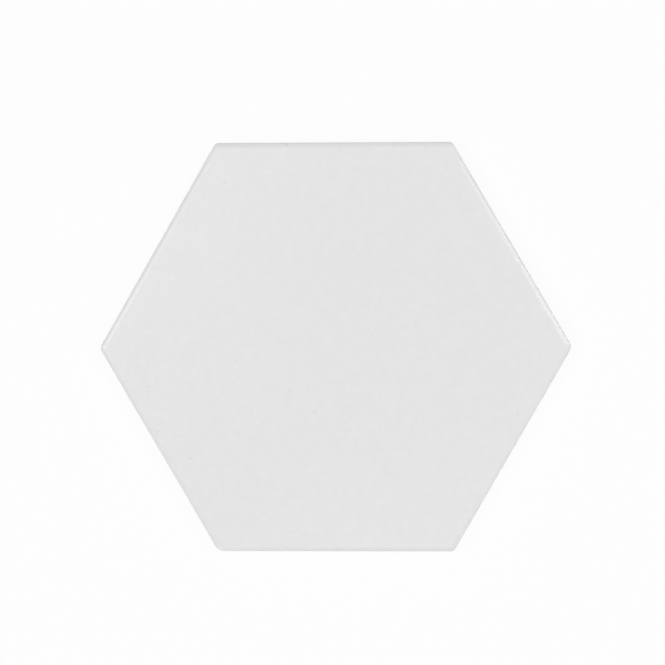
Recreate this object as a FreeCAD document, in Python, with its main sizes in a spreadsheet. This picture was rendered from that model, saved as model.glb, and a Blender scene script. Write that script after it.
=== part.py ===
# Hexagonal floor tile: glazed porcelain stoneware, dry-pressed and fired in one piece.
#
# The tile lies on its back. Z is up, the land of the back relief stands on Z = 0 and the glazed
# face looks up. The origin is the middle of the back. Two opposite corners point along X, so two of
# the six straight edges run along X. Lengths are in millimetres and angles in degrees.
import FreeCAD, Part
import math
import os
import Sketcher

# The driving dimensions. Each one goes into the sheet under its own name.
SIZES = {
    # From one straight side to the opposite one, measured in the plane of the back
    "across_flats": 175.0,
    # Whole height, from the land of the back relief to the face
    "thickness": 8.5,
    # How far the sides lean in towards the face, so that the pressed tile leaves its die
    "side_draft": 1.5,
    # Soft edge of the face: it blends from the flat into a shallow fall that ends in the arris
    "fall_width": 1.6,
    "fall_drop": 0.5,
    "fall_blend_radius": 6.0,
    "arris_radius": 0.5,
    # Plan radius that the flat of the face keeps at its corners, inside the soft edge
    "field_corner_radius": 0.65,
    # 45 degree bevel round the back
    "back_bevel": 0.8,
    # Honeycomb of shallow cells in the back, which the adhesive grips
    "cell_pitch": 17.0,
    "rib_width": 2.4,
    "cell_depth": 0.9,
    "cell_draft": 30.0,
    # Least land between the cells and the back bevel
    "rim_width": 4.0,
}
SHEET = "sizes"
PART_NAME = "tile"
SIDES = 6
TURN = 360 / SIDES
# Heights that differ by less than this are the same height
NEAR = 1e-4
# The part of a volume by which two sums of it may differ
VOLUME_SLACK = 1e-4


def size(name):
    """The expression that reads one size from the sheet."""
    return f"{SHEET}.{name}"


def make_sheet(doc):
    """Writes the driving dimensions into a spreadsheet, one alias a row."""
    sheet = doc.addObject("Spreadsheet::Sheet", SHEET)
    for row, (name, value) in enumerate(SIZES.items(), start=1):
        sheet.set(f"A{row}", name)
        sheet.set(f"B{row}", str(value))
        sheet.setAlias(f"B{row}", name)
    doc.recompute()


def origin_feature(body, role):
    """The plane or axis of the body's own origin that has this role."""
    return next(item for item in body.Origin.OriginFeatures if item.Role == role)


def new_sketch(body, name):
    """An empty sketch on the plane of the back."""
    sketch = body.newObject("Sketcher::SketchObject", name)
    sketch.AttachmentSupport = [(origin_feature(body, "XY_Plane"), "")]
    sketch.MapMode = "FlatFace"
    return sketch


def bind(sketch, name, constraint, expression):
    """Adds a dimension to a sketch and ties it to the sheet."""
    index = sketch.addConstraint(constraint)
    sketch.renameConstraint(index, name)
    sketch.setExpression(f"Constraints.{name}", expression)


def polar(distance, angle):
    """The point at this distance from the origin, in this direction."""
    angle = math.radians(angle)
    return FreeCAD.Vector(distance * math.cos(angle), distance * math.sin(angle), 0)


def draw_hexagon(sketch, flats, facing, middle=FreeCAD.Vector()):
    """Draws a regular hexagon and returns the construction circle that its corners lie on.

    flats is the expression of its width across the flats, and facing is the direction that its
    first side faces, 0 or 90. The solver takes a rough start, and the expression sets the size.
    """
    start_radius = 10.0
    constrain = Sketcher.Constraint
    corners = [middle + polar(start_radius, facing + TURN * (i - 0.5)) for i in range(SIDES)]
    up = FreeCAD.Vector(0, 0, 1)
    circle = sketch.addGeometry(Part.Circle(middle, up, start_radius), True)
    lines = []
    for i, corner in enumerate(corners):
        line = Part.LineSegment(corner, corners[(i + 1) % SIDES])
        lines.append(sketch.addGeometry(line, False))
    for i, line in enumerate(lines):
        sketch.addConstraint(constrain("Coincident", line, 2, lines[(i + 1) % SIDES], 1))
        sketch.addConstraint(constrain("PointOnObject", line, 1, circle))
    for line in lines[1:]:
        sketch.addConstraint(constrain("Equal", lines[0], line))
    sketch.addConstraint(constrain("Vertical" if facing == 0 else "Horizontal", lines[0]))
    radius = f"{flats} / 2 / cos({TURN / 2})"
    bind(sketch, "corner_circle", constrain("Radius", circle, start_radius), radius)
    return circle


def pin_to_origin(sketch, circle):
    sketch.addConstraint(Sketcher.Constraint("Coincident", circle, 3, -1, 1))


def loop_at(feature, height):
    """The feature's edges that lie level at this height, as a selection."""
    names = []
    for i, edge in enumerate(feature.Shape.Edges, start=1):
        box = edge.BoundBox
        if abs(box.ZMin - height) < NEAR and abs(box.ZMax - height) < NEAR:
            names.append(f"Edge{i}")
    return (feature, names)


def upright(feature, kind, items):
    """The feature's edges or faces that rise from the back to the face, as a selection."""
    names = [f"{kind}{i}" for i, item in enumerate(items, start=1) if item.BoundBox.ZLength > NEAR]
    return (feature, names)


def press_block(doc, body):
    """The pressed block: a hexagon with rounded corners, whose sides lean in towards the face.

    The corner radius holds the soft edge, what the draft takes off on the way up, and what is left
    round the flat of the face, so that the soft edge runs round the corners without a pinch.
    """
    slope = f"atan({size('fall_drop')} / {size('fall_width')})"
    blend_reach = f"{size('fall_blend_radius')} * tan({slope} / 2)"
    draft_reach = f"{size('thickness')} * tan({size('side_draft')})"

    outline = new_sketch(body, "outline")
    pin_to_origin(outline, draw_hexagon(outline, size("across_flats"), 90))
    doc.recompute()

    block = body.newObject("PartDesign::Pad", "pressed_block")
    block.Profile = outline
    block.setExpression("Length", size("thickness"))
    doc.recompute()

    corners = body.newObject("PartDesign::Fillet", "corners")
    corners.Base = upright(block, "Edge", block.Shape.Edges)
    soft_edge = f"{size('fall_width')} + {blend_reach}"
    corners.setExpression("Radius", f"{size('field_corner_radius')} + {soft_edge} + {draft_reach}")
    doc.recompute()

    draft = body.newObject("PartDesign::Draft", "side_draft")
    draft.Base = upright(corners, "Face", corners.Shape.Faces)
    draft.NeutralPlane = (origin_feature(body, "XY_Plane"), [""])
    draft.setExpression("Angle", size("side_draft"))
    doc.recompute()
    return draft


def soften_face(doc, body, block):
    """The edge of the face: the shallow fall, its blend into the flat, and the arris."""
    top = SIZES["thickness"]
    fall = body.newObject("PartDesign::Chamfer", "fall")
    fall.Base = loop_at(block, top)
    fall.ChamferType = "Two distances"
    fall.setExpression("Size", size("fall_drop"))
    fall.setExpression("Size2", size("fall_width"))
    doc.recompute()

    blend = body.newObject("PartDesign::Fillet", "fall_blend")
    blend.Base = loop_at(fall, top)
    blend.setExpression("Radius", size("fall_blend_radius"))
    doc.recompute()

    # The drop is measured down the leaning side
    foot_of_fall = top - SIZES["fall_drop"] * math.cos(math.radians(SIZES["side_draft"]))
    arris = body.newObject("PartDesign::Fillet", "arris")
    arris.Base = loop_at(blend, foot_of_fall)
    arris.setExpression("Radius", size("arris_radius"))
    doc.recompute()
    return arris


def bevel_back(doc, body, blank):
    bevel = body.newObject("PartDesign::Chamfer", "back_bevel")
    bevel.Base = loop_at(blank, 0)
    bevel.setExpression("Size", size("back_bevel"))
    doc.recompute()


def draw_cell(sketch, middle=FreeCAD.Vector()):
    """Draws the mouth of one cell. Two of its sides run along Y."""
    flats = f"({size('cell_pitch')} - {size('rib_width')})"
    return draw_hexagon(sketch, flats, 0, middle)


def cut_cell(doc, body, name, sketch):
    """Cuts one cell up into the back, narrowing as it rises."""
    cell = body.newObject("PartDesign::Pocket", name)
    cell.Profile = sketch
    cell.Reversed = True
    cell.setExpression("Length", size("cell_depth"))
    cell.setExpression("TaperAngle", f"-{size('cell_draft')}")
    doc.recompute()
    return cell


def pattern_along(body, name, line_owner, line, count):
    """A row of this many cells, one pitch apart, along an axis or a sketch's construction line."""
    pattern = body.newObject("PartDesign::LinearPattern", name)
    pattern.Direction = (line_owner, [line])
    pattern.Mode = "Spacing"
    pattern.setExpression("Offset", size("cell_pitch"))
    pattern.Occurrences = count
    return pattern


def ring_count():
    """How many whole rings of cells fit round the middle one, inside the rim."""
    slant = math.cos(math.radians(TURN / 2))
    row_pitch = SIZES["cell_pitch"] * slant
    cell_reach = (SIZES["cell_pitch"] - SIZES["rib_width"]) / 2 / slant
    room = SIZES["across_flats"] / 2 - SIZES["back_bevel"] - SIZES["rim_width"] - cell_reach
    return int(room / row_pitch)


def key_back(doc, body):
    """The honeycomb: a cell in the middle of the back, and whole rings of cells round it.

    A number n of rings is three rhombs of n by n + 1 cells, turned about the middle cell. The first
    cell is the middle one's neighbour on X. Its rhomb grows along X and along a line of the lattice
    that leans back over the middle cell.
    """
    blank_volume = body.Shape.Volume
    middle_sketch = new_sketch(body, "middle_cell_outline")
    pin_to_origin(middle_sketch, draw_cell(middle_sketch))
    cut_cell(doc, body, "middle_cell", middle_sketch)
    cell_volume = blank_volume - body.Shape.Volume

    pitch = SIZES["cell_pitch"]
    lean = 2 * TURN
    first_middle = FreeCAD.Vector(pitch, 0, 0)
    sketch = new_sketch(body, "first_cell_outline")
    circle = draw_cell(sketch, first_middle)
    lattice = Part.LineSegment(first_middle, first_middle + polar(pitch, lean))
    lattice_line = sketch.addGeometry(lattice, True)
    constrain = Sketcher.Constraint
    sketch.addConstraint(constrain("PointOnObject", circle, 3, -1))
    sketch.addConstraint(constrain("Coincident", lattice_line, 1, circle, 3))
    sketch.addConstraint(constrain("Angle", lattice_line, math.radians(lean)))
    bind(sketch, "step", constrain("DistanceX", -1, 1, circle, 3, pitch), size("cell_pitch"))
    bind(sketch, "lattice", constrain("Distance", lattice_line, pitch), size("cell_pitch"))
    first_cell = cut_cell(doc, body, "first_cell", sketch)

    rings = ring_count()
    row = pattern_along(body, "row", origin_feature(body, "X_Axis"), "", rings)
    rhomb = pattern_along(body, "rhomb", sketch, "Axis0", rings + 1)
    turns = body.newObject("PartDesign::PolarPattern", "turns")
    turns.Axis = (origin_feature(body, "Z_Axis"), [""])
    turns.Angle = 360
    turns.Occurrences = 3
    honeycomb = body.newObject("PartDesign::MultiTransform", "honeycomb")
    honeycomb.Originals = [first_cell]
    honeycomb.Transformations = [row, rhomb, turns]
    body.Tip = honeycomb
    doc.recompute()

    cells = 1 + 3 * rings * (rings + 1)
    cut = blank_volume - body.Shape.Volume
    if cell_volume <= 0 or abs(cut - cells * cell_volume) > VOLUME_SLACK * cut:
        raise RuntimeError(f"the back lost {cut}, not {cells} cells of {cell_volume}")


def check(doc, body):
    """Stops if a feature failed or the tile isn't one whole solid."""
    for item in doc.Objects:
        if "Invalid" in item.State or "Error" in item.State:
            raise RuntimeError(f"{item.Label} failed: {item.State}")
    shape = body.Shape
    if shape.isNull() or not shape.isValid() or len(shape.Solids) != 1:
        raise RuntimeError(f"{body.Label} is not one valid solid")


def main():
    doc = FreeCAD.newDocument("hexagon_floor_tile")
    make_sheet(doc)
    body = doc.addObject("PartDesign::Body", PART_NAME)
    body.Label = PART_NAME
    body.Placement = FreeCAD.Placement()
    block = press_block(doc, body)
    blank = soften_face(doc, body, block)
    bevel_back(doc, body, blank)
    key_back(doc, body)
    check(doc, body)
    os.makedirs("parts", exist_ok=True)
    body.Shape.exportStep(os.path.join("parts", f"{body.Label}.step"))
    print(body.Label, body.Shape.BoundBox, "volume", round(body.Shape.Volume, 1))


main()
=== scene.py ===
# The looks of the hexagon floor tile: a satin white glaze over a pressed and fired body.
#
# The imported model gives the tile's box. One fine mesh dresses it, with the model's own forms:
# soft edge, arris, leaning sides, back bevel and honeycomb back. Forms are worked out in
# millimetres and become metres when the mesh is made. Z is up and the glazed face looks up.
# The reach of a hexagon is the distance from its middle to a side.
import math

import bpy
import numpy as np
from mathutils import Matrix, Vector
from mathutils.geometry import delaunay_2d_cdt


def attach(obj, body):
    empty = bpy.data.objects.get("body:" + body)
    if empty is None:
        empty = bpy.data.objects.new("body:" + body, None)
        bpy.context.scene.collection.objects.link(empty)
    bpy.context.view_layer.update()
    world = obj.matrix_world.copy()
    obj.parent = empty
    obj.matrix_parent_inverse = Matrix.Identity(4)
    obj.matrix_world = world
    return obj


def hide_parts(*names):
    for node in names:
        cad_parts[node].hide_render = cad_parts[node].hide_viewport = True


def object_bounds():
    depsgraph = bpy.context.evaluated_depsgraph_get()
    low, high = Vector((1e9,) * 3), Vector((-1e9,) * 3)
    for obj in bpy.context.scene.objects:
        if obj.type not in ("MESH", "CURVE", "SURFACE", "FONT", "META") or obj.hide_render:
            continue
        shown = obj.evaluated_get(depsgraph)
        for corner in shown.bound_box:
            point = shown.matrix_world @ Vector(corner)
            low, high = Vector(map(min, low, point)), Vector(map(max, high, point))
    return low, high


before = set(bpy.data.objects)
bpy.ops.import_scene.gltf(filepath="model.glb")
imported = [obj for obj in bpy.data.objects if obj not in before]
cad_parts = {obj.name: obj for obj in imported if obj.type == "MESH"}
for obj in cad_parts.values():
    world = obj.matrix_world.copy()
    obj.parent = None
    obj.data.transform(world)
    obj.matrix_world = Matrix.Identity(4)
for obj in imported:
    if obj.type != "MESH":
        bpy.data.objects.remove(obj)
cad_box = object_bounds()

MM = 0.001
SIDES = 6
TURN = 2 * math.pi / SIDES

# A hexagon's reach as a share of its corner's distance from the middle. The rows of a lattice of
# even triangles are the same share of its spacing apart.
HEX_RATIO = math.cos(TURN / 2)

# What the mesh rides on, and the node that it stands for
BODY = "root"
NODE = "tile"

# The outline. The box's half depth is where the back bevel meets the leaning side.
BEVEL_TOP_REACH = cad_box[1].y / MM
THICKNESS = cad_box[1].z / MM
SIDE_DRAFT = math.radians(1.5)
BACK_BEVEL = 0.8
BEVEL_LIP_RADIUS = 0.3
FOOT_REACH = BEVEL_TOP_REACH + BACK_BEVEL * math.tan(SIDE_DRAFT)

# The soft edge of the face: a fall, the blend above it and the arris below it. The flat is filled
# from a little further in than the blend, this far from the top of the fall.
FALL_WIDTH = 1.6
FALL_DROP = 0.5
FALL_BLEND_RADIUS = 6.0
ARRIS_RADIUS = 0.5
FLAT_START = 1.3

# Plan radius at the foot of each corner, counterclockwise from the one on +X. They differ on the
# real tile, and the lower left corner is the roundest. Further in a corner is sharper, but no
# loop's corner is sharper than the least radius.
CORNER_RADII = (3.5, 2.45, 2.4, 3.5, 4.4, 2.5)
LEAST_RADIUS = 0.12

# The glaze rounds the corners of the soft edge, up to the flat, at least this much
GLAZED_CORNER_RADIUS = 2.0

# Firing drew the upper right corner in a little: which corner, and how far on X and Y
DRAWN_CORNER = 1
DRAWN_BY = (-0.20, -0.26)

# The honeycomb back: one hexagonal cell in the middle and rings of them round it
CELL_PITCH = 17.0
CELL_RIB = 2.4
CELL_MOUTH_REACH = (CELL_PITCH - CELL_RIB) / 2
CELL_DEPTH = 0.9
CELL_DRAFT = math.radians(30)
CELL_RINGS = 5
CELL_CORNER_RADIUS = 1.3
CELL_LIP_RADIUS = 0.3
CELL_FLOOR_RADIUS = 0.4

# Fineness of the mesh: steps round a corner and along a side of a loop, steps of a profile's arcs
# from its start to its end, the tallest row of a profile, and the points round a speck
CORNER_STEPS = 10
SIDE_STEPS = 124
EDGE_ARC_STEPS = (3, 3, 12, 10)
ROW_HEIGHT = 0.9
CELL_CORNER_STEPS = 2
CELL_SIDE_STEPS = 2
CELL_ARC_STEPS = (3, 3)
SPECK_STEPS = 8

# How much of the flat ground a profile takes along: the land inside the back bevel, the land
# round a cell's mouth and the rim of a cell's floor
LAND_RUN = 1.0
MOUTH_RUN = 0.5
FLOOR_RUN = 1.5

# Spacing of the points inside a flat area, and how far from a cell's middle they stay on the land
FIELD_SPACING = 2.6
CELL_CLEARANCE = CELL_MOUTH_REACH + 2.0

# A guard point's distance from its arc, the distance at which points of a flat area would become
# one, and how far inside a boundary a triangle's middle lies if the triangle isn't a sliver on it
GUARD = 0.15
WELD = 1e-6
SLIVER = 0.0002

# Unevenness from pressing and firing: the usual swing of a ripple, its shortest and longest wave,
# and how many waves make one up
FACE_RIPPLE = 0.012
FACE_WAVES = (22, 60)
EDGE_RIPPLE = 0.006
EDGE_WAVES = (6, 28)
SIDE_RIPPLE = 0.008
SIDE_WAVES = (8, 45)
BACK_RIPPLE = 0.02
BACK_WAVES = (15, 70)
RIPPLE_COUNT = 24

# The ripples of the edge and the sides start this far in from the foot, and are full this far in
EDGE_ZONE = (3.2, 1.0)

# The photograph's pixel at the tile's middle, and the size of a pixel on the face
TILE_MIDDLE_PIXEL = (335.0, 347.1)
MM_PER_PIXEL = 0.4277

# Specks in the glaze. The strong ones are where the photograph shows them: each one's pixel across
# and down, and its strength. One more lies on the soft edge. The faint ones are random.
STRONG_SPECKS = (
    (314, 411, 0.20), (148, 386, 0.18), (157.6, 430.6, 0.20), (411, 427, 0.11), (255, 161, 0.13),
    (226, 183, 0.15), (384, 467, 0.16), (516, 414, 0.13), (190, 458, 0.19),
)
STRONG_SPECK_RADIUS = 0.8
EDGE_SPECK = (288.3, 144.8, 0.22)
EDGE_SPECK_RADIUS = 0.6
FAINT_SPECK_COUNT = 260
FAINT_SPECK_RADII = (0.3, 0.6)
FAINT_SPECK_STRENGTHS = (0.02, 0.16)
SPECK_GAP = 1.3
SPECK_COLOUR = (0.50, 0.49, 0.47)
SPECK_LAYER = "speckled"

# The pit of a speck of full strength is this deep. Its core is a share of its radius, and lies at
# a share of its depth.
SPECK_DEPTH = 0.02
SPECK_CORE = 0.5
SPECK_CORE_DEPTH = 0.7

# Finishes. Everything random in them has a size, about that of one patch or grain. Patches also
# have the levels of their noise where one starts and where it is full, and the amounts outside and
# inside them. A relief has a size and a depth. A stretch makes what is random longer one way, and
# the even one doesn't.
EVEN = (1.0, 1.0, 1.0)
NOISE_DETAIL = 2.0

# The glaze, with faint clouds of several sizes and amounts, and its orange peel and fine grain
GLAZE = (0.79, 0.79, 0.79)
GLAZE_CLOUDS = ((24, 0.006), (7.0, 0.009), (2.8, 0.030), (1.2, 0.023))
GLAZE_ROUGHNESS = 0.32
ROUGHNESS_SPREAD = 0.04
ROUGHNESS_SIZE = 9
GLAZE_PEEL = (2.6, 0.02)
GLAZE_GRAIN = (0.7, 0.003)

# A faint streaky reflection beside the left corner, painted into the glaze's colour as darker
# streaks: the photograph's pixel in its middle, how far it reaches across and up, and the share
# of that up to which it is full
REFLECTION_PIXEL = (141, 362)
REFLECTION_REACH = (13, 26)
REFLECTION_CORE = 0.2
PAINTED_REFLECTION_COLOUR = (0.72, 0.72, 0.715)
REFLECTION_STREAKS = (2.2, (0.45, 0.65), (0.05, 0.22))
REFLECTION_STREAK_STRETCH = (1.0, 9.0, 1.0)

# The clay, with soft clouds, and with darker and paler grains: their shade and their patches
CLAY = (0.655, 0.635, 0.60)
CLAY_ROUGHNESS = 0.78
CLAY_CLOUDS = (14, 0.06)
CLAY_GRAINS = (
    (0.62, (0.45, (0.60, 0.72), (0.0, 0.35))),
    (1.20, (0.60, (0.62, 0.74), (0.0, 0.40))),
)

# The sides. The glaze ends in a wandering line at this mean height over the back: size and height
# of its two waves, half the width of its blur, and the glaze's thickness there. The die left
# upright marks.
GLAZE_LINE = 5.9
LINE_WAVES = ((11, 2.6), (2.2, 0.9))
LINE_BLUR = 0.10
GLAZE_THICKNESS = 0.10
DIE_MARKS = (0.8, 0.05)
DIE_MARK_STRETCH = (1.0, 1.0, 12.0)
SIDE_GRAIN = (0.5, 0.05)

# Fine drops of glaze round that line: their size, where they start below it and are densest above
# it, how much they gain on the way, the levels of their noise, and how well they cover the clay
DROP_SIZE = 0.55
DROP_ZONE = (-2.6, 0.2)
DROP_GAIN = 0.22
DROP_LEVELS = (0.66, 0.72)
DROP_COVER = 0.75

# The back. The kiln wash has ended at the first height over the back and is full at the second.
# It has thin and thick coats, and is rubbed in streaks. A little of it lies in the cells as dust.
WASH = (0.79, 0.785, 0.77)
WASH_ROUGHNESS = 0.88
WASH_HEIGHTS = (0.40, 0.06)
WASH_COATS = (9, (0.30, 0.62), (0.45, 0.95))
WASH_RUBS = (0.9, (0.30, 0.55), (0.55, 1.0))
RUB_STRETCH = (14.0, 1.0, 1.0)
DUST = (4, (0.50, 0.75), (0.0, 0.25))
BACK_GRAIN = (0.5, 0.08)
BACK_LUMPS = (3.0, 0.10)

# Lamps: name, azimuth and angle off the upright in degrees, size in metres and power in watts.
# They stand on a dome over the tile. Few stand past the tile's top edge, so that edge is the
# darkest.
LAMP_DISTANCE = 1.9
LAMPS = (
    ("high_right", 20, 15, 0.35, 2.4),
    ("high_top", 90, 15, 0.35, 1.3),
    ("high_left", 160, 15, 0.35, 2.2),
    ("high_front", 270, 15, 0.35, 1.8),
    ("upper_right", 24, 25, 0.35, 2.2),
    ("right", 20, 34, 0.35, 5.0),
    ("right_corner", 0, 36, 0.35, 2.0),
    ("upper_left", 168, 25, 0.35, 3.1),
    ("left_corner", 180, 36, 0.35, 7.3),
    ("front_left", 240, 40, 0.5, 4.6),
    ("front_right", 315, 25, 0.35, 1.3),
    ("low_right", 330, 60, 0.9, 4.0),
)

# The world: its even light on the tile, and how bright it is in gloss. The camera sees it white.
WORLD_LIGHT = 0.08
WORLD_IN_GLOSS = 0.8

# The floor's reach in metres, and how far it lies below the tile. It glows white towards the
# camera, and the rest of it takes the tile's shadow.
FLOOR_REACH = 3.0
FLOOR_DROP = 0.05
FLOOR_GLOW = 0.93
FLOOR_COLOUR = (0.85, 0.85, 0.85)

# The camera looks down, a little off the upright, as found from the tile's six corners in the
# photograph: place, lens and sensor in millimetres, and turn in degrees
CAMERA_PLACE = (47.18, 41.1, 950.78)
CAMERA_TURN = (-2.123, 2.909, -0.307)
LENS = 120
SENSOR = 36


def photo_point(pixel):
    """The point of the face that this pixel shows, in millimetres."""
    across = (pixel[0] - TILE_MIDDLE_PIXEL[0]) * MM_PER_PIXEL
    up = (TILE_MIDDLE_PIXEL[1] - pixel[1]) * MM_PER_PIXEL
    return np.array((across, up))


def smooth(value, low, high):
    """0 below low, 1 above high, and a smooth rise between them."""
    share = np.clip((value - low) / (high - low), 0, 1)
    return share * share * (3 - 2 * share)


# Profiles and loops

def unit(vector):
    return vector / np.linalg.norm(vector)


def arc(before, corner, after, radius, steps):
    """The arc that rounds a corner of a path, as points from its start to its end."""
    to_before = unit(before - corner)
    to_after = unit(after - corner)
    opening = math.acos(np.dot(to_before, to_after))
    turn = math.pi - opening
    tangent = radius / math.tan(opening / 2)
    middle = corner + unit(to_before + to_after) * radius / math.sin(opening / 2)
    first = corner + to_before * tangent - middle
    last = corner + to_after * tangent - middle
    points = []
    for share in np.linspace(0, 1, steps + 1):
        blend = math.sin((1 - share) * turn) * first + math.sin(share * turn) * last
        points.append(middle + blend / math.sin(turn))
    return points


def rounded_path(corners, radii, steps):
    """A path of straight runs and arcs. It has a guard point on each run beside each arc, so that
    smooth shading doesn't spread from the arc over the run."""
    corners = [np.array(corner, float) for corner in corners]
    path = [corners[0]]
    for i, (radius, count) in enumerate(zip(radii, steps), start=1):
        curve = arc(corners[i - 1], corners[i], corners[i + 1], radius, count)
        path.append(curve[0] + GUARD * unit(corners[i - 1] - corners[i]))
        path.extend(curve)
        path.append(curve[-1] + GUARD * unit(corners[i + 1] - corners[i]))
    path.append(corners[-1])
    return path


def divided(path, longest):
    """The same path with its long runs divided."""
    points = [path[0]]
    for start, end in zip(path, path[1:]):
        count = math.ceil(np.linalg.norm(end - start) / longest)
        points.extend(start + (end - start) * k / count for k in range(1, count + 1))
    return points


def hexagon_loop(reach, radii, first_corner, corner_steps, side_steps):
    """Points counterclockwise round a hexagon with rounded corners, as an array of x and y.

    reach is the distance to a side and first_corner the direction of the first corner.
    """
    arcs = []
    for i, radius in enumerate(radii):
        facing = first_corner + i * TURN
        middle = (reach - radius) / HEX_RATIO * np.array((math.cos(facing), math.sin(facing)))
        angles = facing + np.linspace(-TURN / 2, TURN / 2, corner_steps + 1)
        arcs.append(middle + radius * np.stack((np.cos(angles), np.sin(angles)), 1))
    points = []
    for i, curve in enumerate(arcs):
        points.extend(curve)
        start, end = curve[-1], arcs[(i + 1) % SIDES][0]
        shares = np.arange(1, side_steps)[:, None] / side_steps
        points.extend(start + (end - start) * shares)
    return np.array(points)


def edge_profile():
    """From the land of the back round the edge to the flat of the face, as reach and height."""
    foot_of_fall = THICKNESS - FALL_DROP
    side_reach = FOOT_REACH - foot_of_fall * math.tan(SIDE_DRAFT)
    top_reach = side_reach - FALL_WIDTH
    corners = (
        (FOOT_REACH - BACK_BEVEL - LAND_RUN, 0),
        (FOOT_REACH - BACK_BEVEL, 0),
        (BEVEL_TOP_REACH, BACK_BEVEL),
        (side_reach, foot_of_fall),
        (top_reach, THICKNESS),
        (top_reach - FLAT_START, THICKNESS),
    )
    radii = (BEVEL_LIP_RADIUS, BEVEL_LIP_RADIUS, ARRIS_RADIUS, FALL_BLEND_RADIUS)
    return divided(rounded_path(corners, radii, EDGE_ARC_STEPS), ROW_HEIGHT)


def cell_profile():
    """From the land down one cell's wall to its floor, as reach and height."""
    floor_reach = CELL_MOUTH_REACH - CELL_DEPTH * math.tan(CELL_DRAFT)
    corners = (
        (CELL_MOUTH_REACH + MOUTH_RUN, 0),
        (CELL_MOUTH_REACH, 0),
        (floor_reach, CELL_DEPTH),
        (floor_reach - FLOOR_RUN, CELL_DEPTH),
    )
    return rounded_path(corners, (CELL_LIP_RADIUS, CELL_FLOOR_RADIUS), CELL_ARC_STEPS)


# The mesh

class Surface:
    """Points and faces that grow into one closed mesh. Each point has its share of a speck's
    colour, and each face the name of its finish."""

    def __init__(self):
        self.points = []
        self.speckled = []
        self.faces = []
        self.finishes = []

    def add_points(self, flat, height, speckled=0.0):
        """Adds points at one height, and returns their numbers."""
        start = len(self.points)
        self.points.extend((x, y, height) for x, y in flat)
        self.speckled.extend([speckled] * len(flat))
        return list(range(start, len(self.points)))

    def flat(self, numbers):
        """The x and y of these points."""
        return np.array([self.points[number][:2] for number in numbers])

    def add_face(self, corners, finish):
        self.faces.append(corners)
        self.finishes.append(finish)

    def join(self, lower, upper, finish, inward=False):
        """A band of faces between two loops of the same count."""
        count = len(lower)
        for i in range(count):
            k = (i + 1) % count
            face = (lower[i], lower[k], upper[k], upper[i])
            self.add_face(face[::-1] if inward else face, finish)


def within(points, loop, margin=SLIVER):
    """Which points lie more than this far inside a convex loop that runs counterclockwise."""
    inside = np.ones(len(points), bool)
    for start, end in zip(loop, np.roll(loop, -1, axis=0)):
        along = unit(end - start)
        off = points - start
        inside &= along[0] * off[:, 1] - along[1] * off[:, 0] > margin
    return inside


def fill_flat(surface, loops, inner, wanted, finish, downward=False):
    """Fills a flat area with triangles between these loops and inner points. wanted tells from
    the triangles' middles which are kept."""
    numbers = [number for loop in loops for number in loop] + inner
    flat = surface.flat(numbers)
    edges = []
    start = 0
    for loop in loops:
        count = len(loop)
        edges.extend((start + i, start + (i + 1) % count) for i in range(count))
        start += count
    filled = delaunay_2d_cdt([Vector(point) for point in flat], edges, [], 0, WELD, True)
    sources = [ids[0] for ids in filled[3]]
    triangles = np.array([[sources[k] for k in face] for face in filled[2]])
    for triangle in triangles[wanted(flat[triangles].mean(1))]:
        corners = tuple(numbers[k] for k in triangle)
        surface.add_face(corners[::-1] if downward else corners, finish)


def lattice_points(loop):
    """A triangular lattice of points inside a flat area, clear of its boundary."""
    count = int(2 * FOOT_REACH / (FIELD_SPACING * HEX_RATIO))
    steps = np.arange(-count, count + 1)
    across, up = np.meshgrid(steps, steps)
    points = np.stack((FIELD_SPACING * (across + up % 2 / 2), FIELD_SPACING * HEX_RATIO * up), -1)
    points = points.reshape(-1, 2)
    return points[within(points, loop, FIELD_SPACING)]


def edge_finish(height):
    """The finish of the edge's band at this height."""
    if height < BACK_BEVEL:
        return "back"
    if height < THICKNESS - FALL_DROP - ARRIS_RADIUS:
        return "side"
    return "face"


def make_edge(surface):
    """The band from the back's land round the edge to the face. Returns its first and last loop."""
    profile = edge_profile()
    loops = []
    for reach, height in profile:
        least = GLAZED_CORNER_RADIUS if height > BACK_BEVEL else LEAST_RADIUS
        radii = [max(radius - (FOOT_REACH - reach), least) for radius in CORNER_RADII]
        flat = hexagon_loop(reach, radii, 0, CORNER_STEPS, SIDE_STEPS)
        loops.append(surface.add_points(flat, height))
    for i in range(1, len(loops)):
        height = (profile[i - 1][1] + profile[i][1]) / 2
        surface.join(loops[i - 1], loops[i], edge_finish(height))
    return loops[0], loops[-1]


def cell_middles():
    """The middles of the honeycomb's cells: one in the middle, and rings round it."""
    middles = []
    for i in range(-CELL_RINGS, CELL_RINGS + 1):
        for k in range(-CELL_RINGS, CELL_RINGS + 1):
            if abs(i + k) <= CELL_RINGS:
                middles.append((CELL_PITCH * (i + k / 2), CELL_PITCH * k * HEX_RATIO))
    return np.array(middles)


def make_cell(surface, middle):
    """One cell of the honeycomb. Returns the loop round its mouth."""
    loops = []
    for reach, height in cell_profile():
        radius = max(CELL_CORNER_RADIUS - (CELL_MOUTH_REACH - reach), LEAST_RADIUS)
        radii = [radius] * SIDES
        flat = hexagon_loop(reach, radii, TURN / 2, CELL_CORNER_STEPS, CELL_SIDE_STEPS)
        loops.append(surface.add_points(flat + middle, height))
    for outer, inner in zip(loops, loops[1:]):
        surface.join(outer, inner, "back", inward=True)
    centre = surface.add_points([middle], CELL_DEPTH)[0]
    rim = loops[-1]
    for i, number in enumerate(rim):
        surface.add_face((rim[(i + 1) % len(rim)], number, centre), "back")
    return loops[0]


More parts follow.
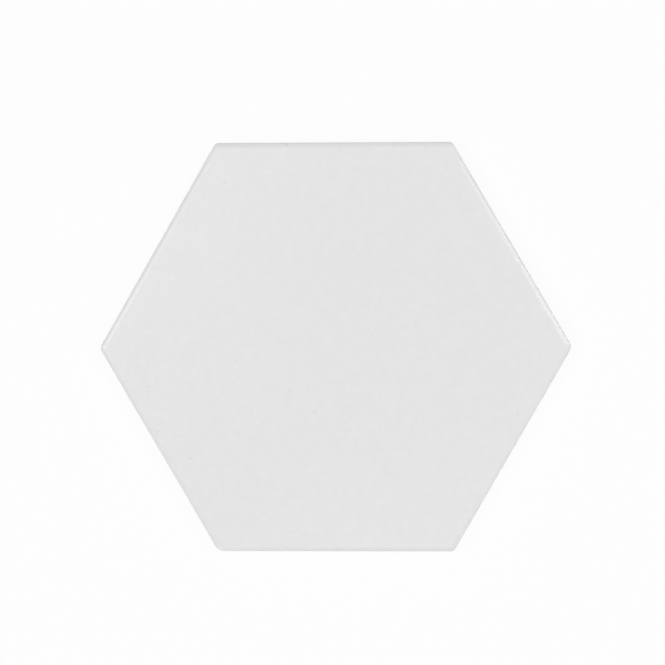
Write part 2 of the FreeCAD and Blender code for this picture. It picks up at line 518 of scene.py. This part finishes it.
def make_back(surface, edge_loop):
    """The land of the back with its honeycomb."""
    middles = cell_middles()
    mouths = [make_cell(surface, middle) for middle in middles]
    mouth_shapes = [surface.flat(mouth) for mouth in mouths]
    edge = surface.flat(edge_loop)
    lattice = lattice_points(edge)
    for middle in middles:
        lattice = lattice[np.linalg.norm(lattice - middle, axis=1) > CELL_CLEARANCE]
    inner = surface.add_points(lattice, 0)

    def on_land(points):
        land = within(points, edge)
        for shape in mouth_shapes:
            land &= ~within(points, shape)
        return land

    fill_flat(surface, [edge_loop] + mouths, inner, on_land, "back", downward=True)


def speck_places(loop):
    """Middle, radius and strength of each speck in the glaze. No two of them touch."""
    draw = np.random.default_rng(seed=17)
    specks = [
        (photo_point(pixel), STRONG_SPECK_RADIUS, strength) for *pixel, strength in STRONG_SPECKS
    ]
    while len(specks) < len(STRONG_SPECKS) + FAINT_SPECK_COUNT:
        middle = draw.uniform(-FOOT_REACH, FOOT_REACH, 2) / HEX_RATIO
        radius = draw.uniform(*FAINT_SPECK_RADII)
        strength = draw.uniform(*FAINT_SPECK_STRENGTHS)
        gaps = [np.linalg.norm(middle - other[0]) for other in specks]
        if min(gaps) > SPECK_GAP and within(middle[None], loop, FIELD_SPACING)[0]:
            specks.append((middle, radius, strength))
    return specks


def make_speck(surface, middle, radius, strength):
    """A small pit with a dark middle. Returns the numbers of its points."""
    angles = np.arange(SPECK_STEPS) * 2 * math.pi / SPECK_STEPS
    ring = np.stack((np.cos(angles), np.sin(angles)), 1)
    depth = SPECK_DEPTH * strength
    core = middle + SPECK_CORE * radius * ring
    numbers = surface.add_points([middle], THICKNESS - depth, strength)
    numbers += surface.add_points(core, THICKNESS - SPECK_CORE_DEPTH * depth, strength)
    numbers += surface.add_points(middle + radius * ring, THICKNESS)
    return numbers


def darken_edge(surface, middle, strength):
    """A speck on the soft edge, which has no pit and only darkens the points that it covers."""
    for number, (x, y, height) in enumerate(surface.points):
        near = math.hypot(x - middle[0], y - middle[1]) < EDGE_SPECK_RADIUS
        if near and height > THICKNESS - FALL_DROP:
            surface.speckled[number] = strength


def make_face(surface, edge_loop):
    """The flat of the face, with the specks in its glaze."""
    loop = surface.flat(edge_loop)
    lattice = lattice_points(loop)
    inner = []
    for middle, radius, strength in speck_places(loop):
        inner += make_speck(surface, middle, radius, strength)
        lattice = lattice[np.linalg.norm(lattice - middle, axis=1) > SPECK_GAP]
    inner += surface.add_points(lattice, THICKNESS)
    fill_flat(surface, [edge_loop], inner, lambda middles: within(middles, loop), "face")


def ripple(flat, waves, seed):
    """A gentle random ripple over points of the plane. Its usual swing is 1, and its lowest point
    is at 0."""
    draw = np.random.default_rng(seed)
    total = np.zeros(len(flat))
    for _ in range(RIPPLE_COUNT):
        heading = draw.uniform(0, 2 * math.pi)
        along = flat @ np.array((math.cos(heading), math.sin(heading)))
        total += np.sin(2 * math.pi * along / draw.uniform(*waves) + draw.uniform(0, 2 * math.pi))
    total /= math.sqrt(RIPPLE_COUNT / 2)
    return total - total.min()


def reach_of(flat):
    """How far out each point lies, as the reach of the hexagon through it."""
    facings = (np.arange(SIDES) + 0.5) * TURN
    return (flat @ np.stack((np.cos(facings), np.sin(facings)))).max(1)


def follow_corner(flat, corner):
    """1 at this corner, and an even fall to 0 at the corners beside it and at the middle."""
    facings = (corner + np.array((-0.5, 0.5))) * TURN
    reaches = flat @ np.stack((np.cos(facings), np.sin(facings)))
    return np.clip(reaches.min(1) / FOOT_REACH, 0, 1)


def settle(points):
    """Adds the unevenness that pressing and firing leave. It only takes from the tile."""
    flat = points[:, :2].copy()
    high = smooth(points[:, 2], THICKNESS / 2, THICKNESS - FALL_DROP)
    edge = smooth(reach_of(flat), FOOT_REACH - EDGE_ZONE[0], FOOT_REACH - EDGE_ZONE[1])
    points[:, 2] -= high * FACE_RIPPLE * ripple(flat, FACE_WAVES, seed=3)
    points[:, 2] -= high * edge * EDGE_RIPPLE * ripple(flat, EDGE_WAVES, seed=5)
    low = 1 - smooth(points[:, 2], BACK_BEVEL, THICKNESS / 2)
    points[:, 2] += low * BACK_RIPPLE * ripple(flat, BACK_WAVES, seed=7)
    inward = edge * SIDE_RIPPLE * ripple(flat, SIDE_WAVES, seed=9)
    points[:, :2] *= (1 - inward / FOOT_REACH)[:, None]
    points[:, :2] += follow_corner(flat, DRAWN_CORNER)[:, None] * DRAWN_BY


def tile_surface():
    """The whole tile as one closed surface, as even as a drawing."""
    surface = Surface()
    back_loop, face_loop = make_edge(surface)
    *pixel, strength = EDGE_SPECK
    darken_edge(surface, photo_point(pixel), strength)
    make_back(surface, back_loop)
    make_face(surface, face_loop)
    return surface


def tile_mesh():
    """The uneven tile as a mesh with its finishes. Its lowest point is at 0."""
    surface = tile_surface()
    points = np.array(surface.points)
    settle(points)
    points[:, 2] -= points[:, 2].min()
    mesh = bpy.data.meshes.new("tile_shape")
    mesh.from_pydata((points * MM).tolist(), [], surface.faces)
    speckled = mesh.attributes.new(SPECK_LAYER, "FLOAT", "POINT")
    speckled.data.foreach_set("value", surface.speckled)
    finishes = {"face": glaze_material(), "side": side_material(), "back": back_material()}
    for material in finishes.values():
        mesh.materials.append(material)
    order = list(finishes)
    mesh.polygons.foreach_set("material_index", [order.index(name) for name in surface.finishes])
    mesh.polygons.foreach_set("use_smooth", [True] * len(mesh.polygons))
    mesh.validate()
    mesh.update()
    return mesh


# The materials

class Graph:
    """A material with one Principled shader, and short ways to add and join nodes.

    Places and sizes are in millimetres of the tile's own frame.
    """

    def __init__(self, name):
        self.material = bpy.data.materials.new(name)
        self.material.use_nodes = True
        self.nodes = self.material.node_tree.nodes
        self.links = self.material.node_tree.links
        self.shader = self.nodes["Principled BSDF"]
        metres = self.nodes.new("ShaderNodeTexCoord").outputs["Object"]
        self.place = self.vector("SCALE", metres, scale=1 / MM)

    def put(self, socket, value):
        """Links a node's output to a socket, or sets the socket to a number or colour."""
        if isinstance(value, bpy.types.NodeSocket):
            self.links.new(value, socket)
        elif isinstance(value, tuple) and len(socket.default_value) > len(value):
            socket.default_value = (*value, 1)
        else:
            socket.default_value = value

    def vector(self, operation, first, second=None, scale=None):
        """Vector arithmetic."""
        node = self.nodes.new("ShaderNodeVectorMath")
        node.operation = operation
        self.put(node.inputs[0], first)
        if second is not None:
            self.put(node.inputs[1], second)
        if scale is not None:
            self.put(node.inputs["Scale"], scale)
        return node.outputs["Value" if operation == "LENGTH" else "Vector"]

    def number(self, operation, first, second):
        """Arithmetic with two numbers."""
        node = self.nodes.new("ShaderNodeMath")
        node.operation = operation
        self.put(node.inputs[0], first)
        self.put(node.inputs[1], second)
        return node.outputs["Value"]

    def times(self, first, second):
        return self.number("MULTIPLY", first, second)

    def height(self):
        """Height over the back."""
        node = self.nodes.new("ShaderNodeSeparateXYZ")
        self.put(node.inputs[0], self.place)
        return node.outputs["Z"]

    def noise(self, size, seed, stretch=EVEN):
        """Random clouds of about this size, around 0.5."""
        node = self.nodes.new("ShaderNodeTexNoise")
        node.noise_dimensions = "4D"
        squeeze = tuple(1 / share for share in stretch)
        self.put(node.inputs["Vector"], self.vector("MULTIPLY", self.place, squeeze))
        self.put(node.inputs["W"], float(seed))
        self.put(node.inputs["Scale"], 1 / size)
        self.put(node.inputs["Detail"], NOISE_DETAIL)
        return node.outputs["Fac"]

    def rise(self, value, low, high):
        """0 at low, 1 at high, and a smooth rise between them."""
        node = self.nodes.new("ShaderNodeMapRange")
        node.interpolation_type = "SMOOTHSTEP"
        self.put(node.inputs["Value"], value)
        self.put(node.inputs["From Min"], low)
        self.put(node.inputs["From Max"], high)
        return node.outputs["Result"]

    def mix(self, share, first, second):
        """A number between two others, or a colour where the second is one."""
        node = self.nodes.new("ShaderNodeMix")
        node.data_type = "RGBA" if isinstance(second, tuple) else "FLOAT"
        sockets = [socket for socket in node.inputs if socket.enabled]
        for socket, value in zip(sockets, (share, first, second)):
            self.put(socket, value)
        return next(socket for socket in node.outputs if socket.enabled)

    def patches(self, size, levels, amounts, seed, stretch=EVEN):
        """A number that goes from one amount to another in random patches of about this size."""
        return self.mix(self.rise(self.noise(size, seed, stretch), *levels), *amounts)

    def bump(self, height, depth, below=None):
        """Relief of this depth where the height is 1, over another relief."""
        node = self.nodes.new("ShaderNodeBump")
        self.put(node.inputs["Height"], height)
        self.put(node.inputs["Distance"], depth * MM)
        if below is not None:
            self.put(node.inputs["Normal"], below)
        return node.outputs["Normal"]

    def relief(self, size, depth, seed, below=None, stretch=EVEN):
        """Random relief of about this size, over another relief."""
        return self.bump(self.noise(size, seed, stretch), depth, below)

    def finish(self, colour, roughness, normal):
        """Links the shader, and returns the material."""
        self.put(self.shader.inputs["Base Color"], colour)
        self.put(self.shader.inputs["Roughness"], roughness)
        self.put(self.shader.inputs["Normal"], normal)
        return self.material


def shade(colour, factor):
    """A darker or lighter shade of a colour."""
    return tuple(channel * factor for channel in colour)


def glaze_colour(graph):
    """The white of the glaze, a little lighter and darker in clouds."""
    level = 1 - sum(amount for size, amount in GLAZE_CLOUDS)
    for seed, (size, amount) in enumerate(GLAZE_CLOUDS, start=41):
        cloud = graph.times(graph.noise(size, seed), 2 * amount)
        level = graph.number("ADD", cloud, level)
    return graph.vector("SCALE", GLAZE, scale=level)


def glaze_roughness(graph):
    """Satin, a little glossier and duller in patches."""
    least = GLAZE_ROUGHNESS - ROUGHNESS_SPREAD
    most = GLAZE_ROUGHNESS + ROUGHNESS_SPREAD
    return graph.mix(graph.noise(ROUGHNESS_SIZE, seed=3), least, most)


def painted_reflection_cover(graph):
    """How well the painted reflection covers the glaze: little, in streaks, less towards its end.
    """
    middle = (*photo_point(REFLECTION_PIXEL).tolist(), THICKNESS)
    off = graph.vector("SUBTRACT", graph.place, middle)
    squeeze = (1 / REFLECTION_REACH[0], 1 / REFLECTION_REACH[1], 0.0)
    away = graph.vector("LENGTH", graph.vector("MULTIPLY", off, squeeze))
    near = graph.rise(away, 1.0, REFLECTION_CORE)
    return graph.times(near, graph.patches(*REFLECTION_STREAKS, seed=6, stretch=REFLECTION_STREAK_STRETCH))


def glaze_material():
    """The satin white glaze, with its specks and a faint reflection painted near one corner."""
    graph = Graph("white_glaze")
    # Painted reflection: faint darker streaks in the glaze's colour beside the left corner
    colour = graph.mix(painted_reflection_cover(graph), glaze_colour(graph), PAINTED_REFLECTION_COLOUR)
    speck = graph.nodes.new("ShaderNodeAttribute")
    speck.attribute_name = SPECK_LAYER
    colour = graph.mix(speck.outputs["Fac"], colour, SPECK_COLOUR)
    peel = graph.relief(*GLAZE_PEEL, seed=4)
    grain = graph.relief(*GLAZE_GRAIN, seed=5, below=peel)
    return graph.finish(colour, glaze_roughness(graph), grain)


def clay_colour(graph):
    """The fired body: pale clay in soft clouds, with fine darker and paler grains."""
    size, amount = CLAY_CLOUDS
    clouds = graph.noise(size, seed=11)
    colour = graph.mix(clouds, shade(CLAY, 1 - amount), shade(CLAY, 1 + amount))
    for seed, (factor, patches) in enumerate(CLAY_GRAINS, start=12):
        colour = graph.mix(graph.patches(*patches, seed=seed), colour, shade(CLAY, factor))
    return colour


def side_cover(graph):
    """How well the glaze covers the side: all above its uneven line, and in drops round it."""
    waves = [
        graph.times(graph.noise(size, seed), height)
        for seed, (size, height) in enumerate(LINE_WAVES, start=21)
    ]
    above = graph.number("SUBTRACT", graph.height(), graph.number("ADD", *waves))
    line = GLAZE_LINE - sum(height for size, height in LINE_WAVES) / 2
    glazed = graph.rise(above, line - LINE_BLUR, line + LINE_BLUR)
    near = graph.rise(above, line + DROP_ZONE[0], line + DROP_ZONE[1])
    level = graph.number("ADD", graph.noise(DROP_SIZE, seed=23), graph.times(near, DROP_GAIN))
    drops = graph.times(graph.rise(level, *DROP_LEVELS), DROP_COVER)
    return graph.number("MAXIMUM", glazed, drops)


def side_material():
    """The side: glaze that ran over the edge and stopped in an uneven line, and bare clay below."""
    graph = Graph("side_glaze_and_clay")
    covered = side_cover(graph)
    colour = graph.mix(covered, clay_colour(graph), GLAZE)
    roughness = graph.mix(covered, CLAY_ROUGHNESS, GLAZE_ROUGHNESS)
    marks = graph.relief(*DIE_MARKS, seed=24, stretch=DIE_MARK_STRETCH)
    grain = graph.relief(*SIDE_GRAIN, seed=25, below=marks)
    return graph.finish(colour, roughness, graph.bump(covered, GLAZE_THICKNESS, grain))


def back_material():
    """The back: bare clay in the cells, and a rubbed white kiln wash on the land."""
    graph = Graph("fired_clay_back")
    coats = graph.patches(*WASH_COATS, seed=31)
    rubs = graph.patches(*WASH_RUBS, seed=32, stretch=RUB_STRETCH)
    land = graph.rise(graph.height(), *WASH_HEIGHTS)
    washed = graph.times(land, graph.times(coats, rubs))
    covered = graph.number("MAXIMUM", washed, graph.patches(*DUST, seed=33))
    colour = graph.mix(covered, clay_colour(graph), WASH)
    roughness = graph.mix(covered, CLAY_ROUGHNESS, WASH_ROUGHNESS)
    grain = graph.relief(*BACK_GRAIN, seed=34)
    return graph.finish(colour, roughness, graph.relief(*BACK_LUMPS, seed=35, below=grain))


# The stage

def add_object(name, data):
    thing = bpy.data.objects.new(name, data)
    bpy.context.scene.collection.objects.link(thing)
    return thing


def white_share(nodes, links):
    """1 for rays from the camera and in gloss or glass, and 0 for the rest."""
    path = nodes.new("ShaderNodeLightPath")
    total = path.outputs["Is Camera Ray"]
    for name in ("Is Glossy Ray", "Is Transmission Ray"):
        add = nodes.new("ShaderNodeMath")
        add.operation = "ADD"
        add.use_clamp = True
        links.new(total, add.inputs[0])
        links.new(path.outputs[name], add.inputs[1])
        total = add.outputs[0]
    return total


def floor_material():
    """A pale floor that takes a shadow, and glows where white_share is 1."""
    material = bpy.data.materials.new("floor")
    material.use_nodes = True
    nodes = material.node_tree.nodes
    links = material.node_tree.links
    nodes.clear()
    paint = nodes.new("ShaderNodeBsdfDiffuse")
    paint.inputs["Color"].default_value = (*FLOOR_COLOUR, 1)
    glow = nodes.new("ShaderNodeEmission")
    share = nodes.new("ShaderNodeMath")
    share.operation = "MULTIPLY"
    share.inputs[1].default_value = FLOOR_GLOW
    links.new(white_share(nodes, links), share.inputs[0])
    blend = nodes.new("ShaderNodeMixShader")
    links.new(share.outputs[0], blend.inputs[0])
    links.new(paint.outputs[0], blend.inputs[1])
    links.new(glow.outputs[0], blend.inputs[2])
    links.new(blend.outputs[0], nodes.new("ShaderNodeOutputMaterial").inputs["Surface"])
    return material


def make_floor():
    """A wide square just below the tile."""
    signs = ((-1, -1), (1, -1), (1, 1), (-1, 1))
    corners = [(x * FLOOR_REACH, y * FLOOR_REACH, -FLOOR_DROP * MM) for x, y in signs]
    mesh = bpy.data.meshes.new("floor_shape")
    mesh.from_pydata(corners, [], [range(len(corners))])
    mesh.materials.append(floor_material())
    add_object("floor", mesh)


def make_world():
    """White to the camera, a little darker in gloss, and a dim even light on the tile."""
    world = bpy.data.worlds.new("studio")
    bpy.context.scene.world = world
    world.use_nodes = True
    nodes = world.node_tree.nodes
    links = world.node_tree.links
    nodes.clear()
    light = nodes.new("ShaderNodeMapRange")
    light.inputs["To Min"].default_value = WORLD_LIGHT
    light.inputs["To Max"].default_value = WORLD_IN_GLOSS
    links.new(white_share(nodes, links), light.inputs["Value"])
    strength = nodes.new("ShaderNodeMath")
    strength.operation = "MAXIMUM"
    links.new(light.outputs[0], strength.inputs[0])
    links.new(nodes.new("ShaderNodeLightPath").outputs["Is Camera Ray"], strength.inputs[1])
    background = nodes.new("ShaderNodeBackground")
    background.inputs["Color"].default_value = (1, 1, 1, 1)
    links.new(strength.outputs[0], background.inputs["Strength"])
    links.new(background.outputs[0], nodes.new("ShaderNodeOutputWorld").inputs["Surface"])


def add_lamp(name, azimuth, lean, size, power):
    """A square soft lamp on the dome, turned to the tile."""
    lamp = bpy.data.lights.new(name, "AREA")
    lamp.size = size
    lamp.energy = power
    azimuth, lean = math.radians(azimuth), math.radians(lean)
    across = math.sin(lean)
    up = Vector((across * math.cos(azimuth), across * math.sin(azimuth), math.cos(lean)))
    thing = add_object(name, lamp)
    thing.location = up * LAMP_DISTANCE
    thing.rotation_euler = up.to_track_quat("Z", "Y").to_euler()


def add_camera():
    """The photograph's camera."""
    camera = bpy.data.cameras.new("camera")
    camera.lens = LENS
    camera.sensor_width = SENSOR
    thing = add_object("camera", camera)
    thing.location = Vector(CAMERA_PLACE) * MM
    thing.rotation_euler = [math.radians(angle) for angle in CAMERA_TURN]
    bpy.context.scene.camera = thing


def make_tile():
    """The dressed tile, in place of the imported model's own."""
    tile = add_object("glazed_tile", tile_mesh())
    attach(tile, BODY)
    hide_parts(NODE)


make_tile()
make_floor()
make_world()
for lamp in LAMPS:
    add_lamp(*lamp)
add_camera()
bpy.context.scene.view_settings.view_transform = "Standard"
